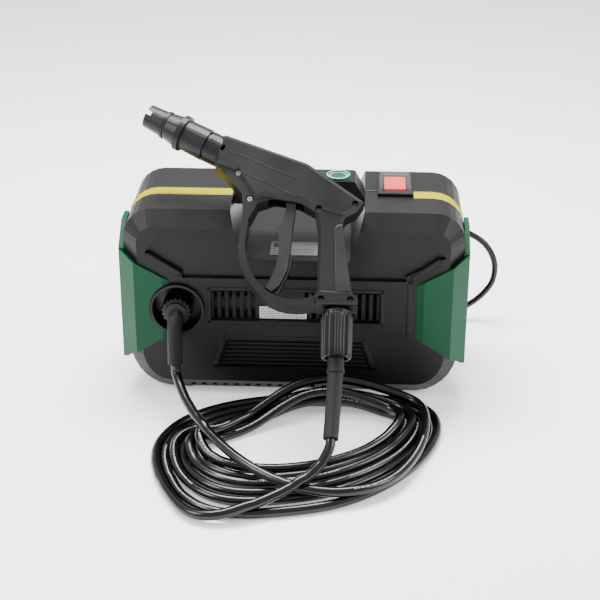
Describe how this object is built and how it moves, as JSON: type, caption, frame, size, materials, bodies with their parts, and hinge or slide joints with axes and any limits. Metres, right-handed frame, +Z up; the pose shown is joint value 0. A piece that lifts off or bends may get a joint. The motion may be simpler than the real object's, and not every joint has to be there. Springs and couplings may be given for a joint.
{
  "type": "pressure washer",
  "caption": "Compact electric pressure washer with a carrying handle, trigger gun resting on top, coiled high-pressure hose in front and a mains cord behind.",
  "frame": {"origin": "on the floor, under the middle of the washer and its gun, cords and hose coil left out", "axes": "+X along the width, to the right as the front is faced; +Y from the front to the back; +Z up"},
  "size_m": [0.4369, 0.571, 0.3185],
  "materials": {
    "case_plastic": "charcoal moulded plastic with a fine texture",
    "black_plastic": "black moulded plastic",
    "gun_plastic": "dark grey moulded plastic with a fine texture",
    "green_plastic": "satin green plastic",
    "badge_plastic": "pale green plastic",
    "yellow_plastic": "satin yellow plastic",
    "red_plastic": "translucent-looking red plastic",
    "clear_plastic": "clear soft plastic",
    "rubber": "matt black rubber",
    "hose_rubber": "smooth glossy black hose",
    "label": "pale printed foil",
    "steel": "machined steel",
    "brass": "turned brass",
    "aluminium": "die-cast aluminium",
    "copper": "wound copper on a steel core"
  },
  "bodies": {
    "root": {"case_front": "case_plastic", "case_rear": "case_plastic", "trim_strip_left": "yellow_plastic", "trim_strip_right": "yellow_plastic", "foot_1": "rubber", "foot_2": "rubber", "foot_3": "rubber", "foot_4": "rubber", "handle_bar": "case_plastic", "handle_insert": "green_plastic", "handle_badge": "badge_plastic", "guard_left": "green_plastic", "guard_right": "green_plastic", "rating_label": "label", "valley_label": "label", "switch_body": "black_plastic", "switch_hood": "clear_plastic", "outlet_cup": "black_plastic", "outlet_nipple": "brass", "outlet_sleeve": "rubber", "inlet_connector": "black_plastic", "inlet_filter": "steel", "motor_housing": "steel", "stator": "steel", "motor_end_plate": "aluminium", "gear_case": "aluminium", "pump_head": "aluminium", "piston_1": "steel", "piston_2": "steel", "piston_3": "steel", "unloader_valve": "brass", "pressure_switch": "black_plastic", "inlet_pipe": "rubber", "outlet_pipe": "steel", "motor_cradle_1": "rubber", "motor_cradle_2": "rubber", "capacitor": "label", "cord_gland": "rubber", "power_cord": "rubber", "cord_coil": "rubber", "plug": "black_plastic", "hose_outlet_lead": "hose_rubber", "hose_coil": "hose_rubber"},
    "gun": {"gun_shell_front": "gun_plastic", "gun_shell_rear": "gun_plastic", "gun_valve": "brass", "grip_pipe": "black_plastic", "trigger_pin": "steel", "gun_sleeve": "rubber", "hose_gun_lead": "hose_rubber"},
    "rotor": {"rotor": "copper", "cooling_fan": "black_plastic", "swash_plate": "steel"},
    "rocker": {"rocker": "red_plastic"},
    "outlet_nut": {"outlet_nut": "black_plastic"},
    "trigger": {"trigger": "gun_plastic"},
    "trigger_lock": {"trigger_lock": "black_plastic"},
    "lance_coupler": {"lance_coupler": "gun_plastic"},
    "gun_hose_nut": {"gun_hose_nut": "gun_plastic"}
  },
  "joints": [
    {"name": "rocker_tilt", "type": "hinge", "parent": "root", "child": "rocker", "pos_m": [0.1105, 0.09453, 0.216], "axis": [1, 0, 0], "range_deg": [0, 14]},
    {"name": "motor_spin", "type": "hinge", "parent": "root", "child": "rotor", "pos_m": [0.043, 0.08253, 0.078], "axis": [1, 0, 0], "continuous": true},
    {"name": "outlet_nut_turn", "type": "hinge", "parent": "root", "child": "outlet_nut", "pos_m": [-0.128, -0.00147, 0.11], "axis": [0, 1, 0], "continuous": true},
    {"name": "gun_lift", "type": "slide", "parent": "root", "child": "gun", "axis": [0, -0.7071, 0.7071], "range_m": [0, 0.03]},
    {"name": "trigger_pull", "type": "hinge", "parent": "gun", "child": "trigger", "pos_m": [-0.0014, 0.00654, 0.23611], "axis": [0, -0.7071, 0.7071], "range_deg": [0, 12], "stiffness_Nm_per_rad": 2, "springref_deg": -5.73},
    {"name": "lock_flip", "type": "hinge", "parent": "trigger", "child": "trigger_lock", "pos_m": [0.0006, -0.038, 0.19157], "axis": [0, -0.7071, 0.7071], "range_deg": [0, 20]},
    {"name": "coupler_turn", "type": "hinge", "parent": "gun", "child": "lance_coupler", "pos_m": [-0.0804, 0.04685, 0.27642], "axis": [0.8886, -0.3243, -0.3243], "range_deg": [0, 60]},
    {"name": "gun_nut_turn", "type": "hinge", "parent": "gun", "child": "gun_hose_nut", "pos_m": [0.0501, -0.09811, 0.13146], "axis": [0, 0.7071, 0.7071], "continuous": true}
  ]
}
